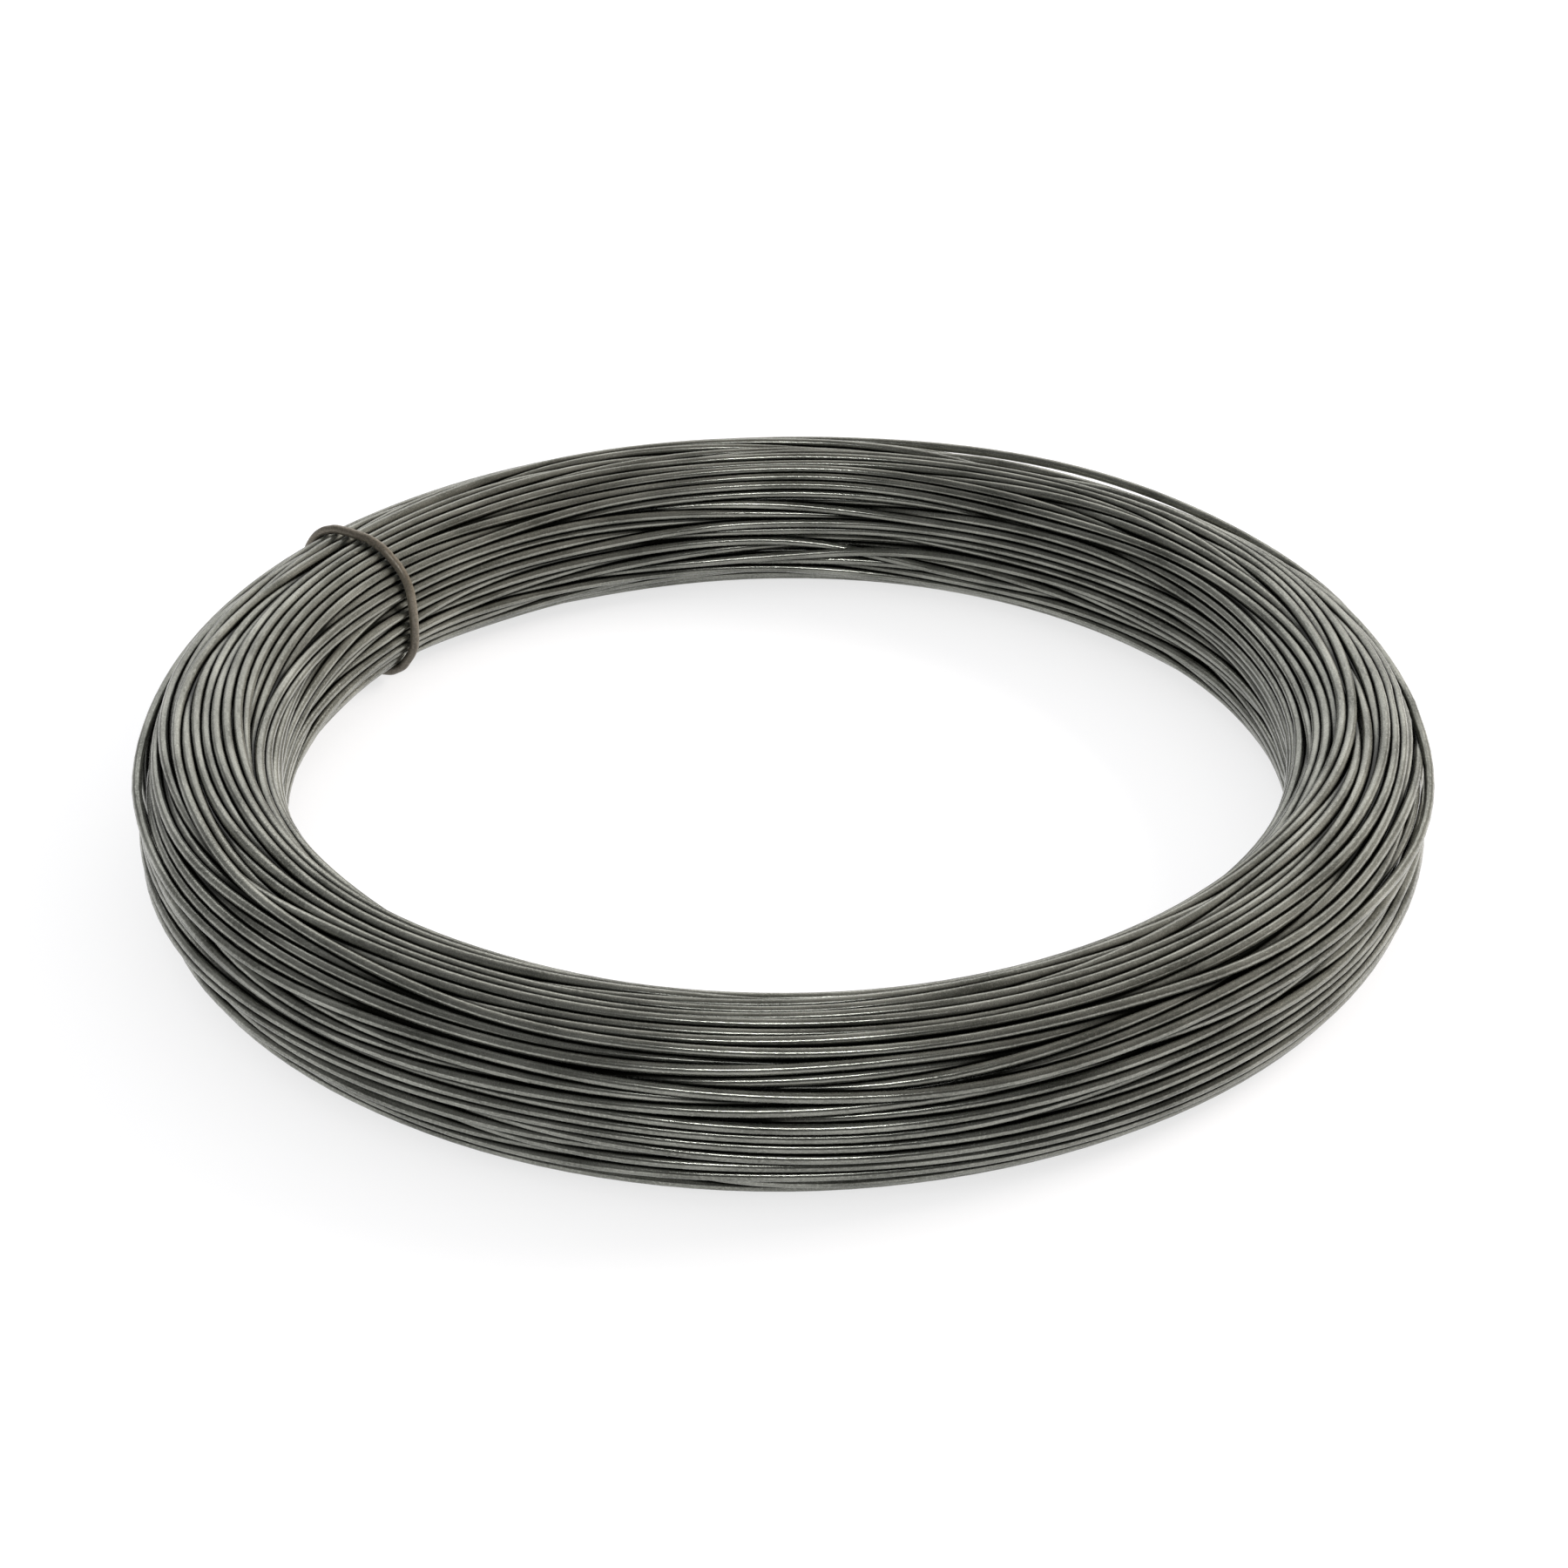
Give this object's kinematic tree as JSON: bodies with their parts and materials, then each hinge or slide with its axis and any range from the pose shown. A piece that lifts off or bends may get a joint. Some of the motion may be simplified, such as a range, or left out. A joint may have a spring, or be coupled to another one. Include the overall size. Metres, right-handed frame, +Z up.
{
  "type": "wire coil",
  "caption": "Flat round coil of dark annealed steel wire, wound in many uneven turns and held by a twisted wire tie; raw stock for tying, binding and fencing.",
  "frame": {"origin": "centre of the bore, on the ground that the coil lies on", "axes": "+Z up along the coil's axis; X and Y lie across the coil, with the tie at the back left when seen along +Y"},
  "size_m": [0.3, 0.3, 0.0405],
  "materials": {
    "annealed_wire": "black annealed, matt oxide over a drawn surface",
    "tie_wire": "black annealed, slightly browned matt oxide"
  },
  "bodies": {
    "root": {"wire_coil": "annealed_wire", "tie_wire": "tie_wire"}
  },
  "joints": []
}
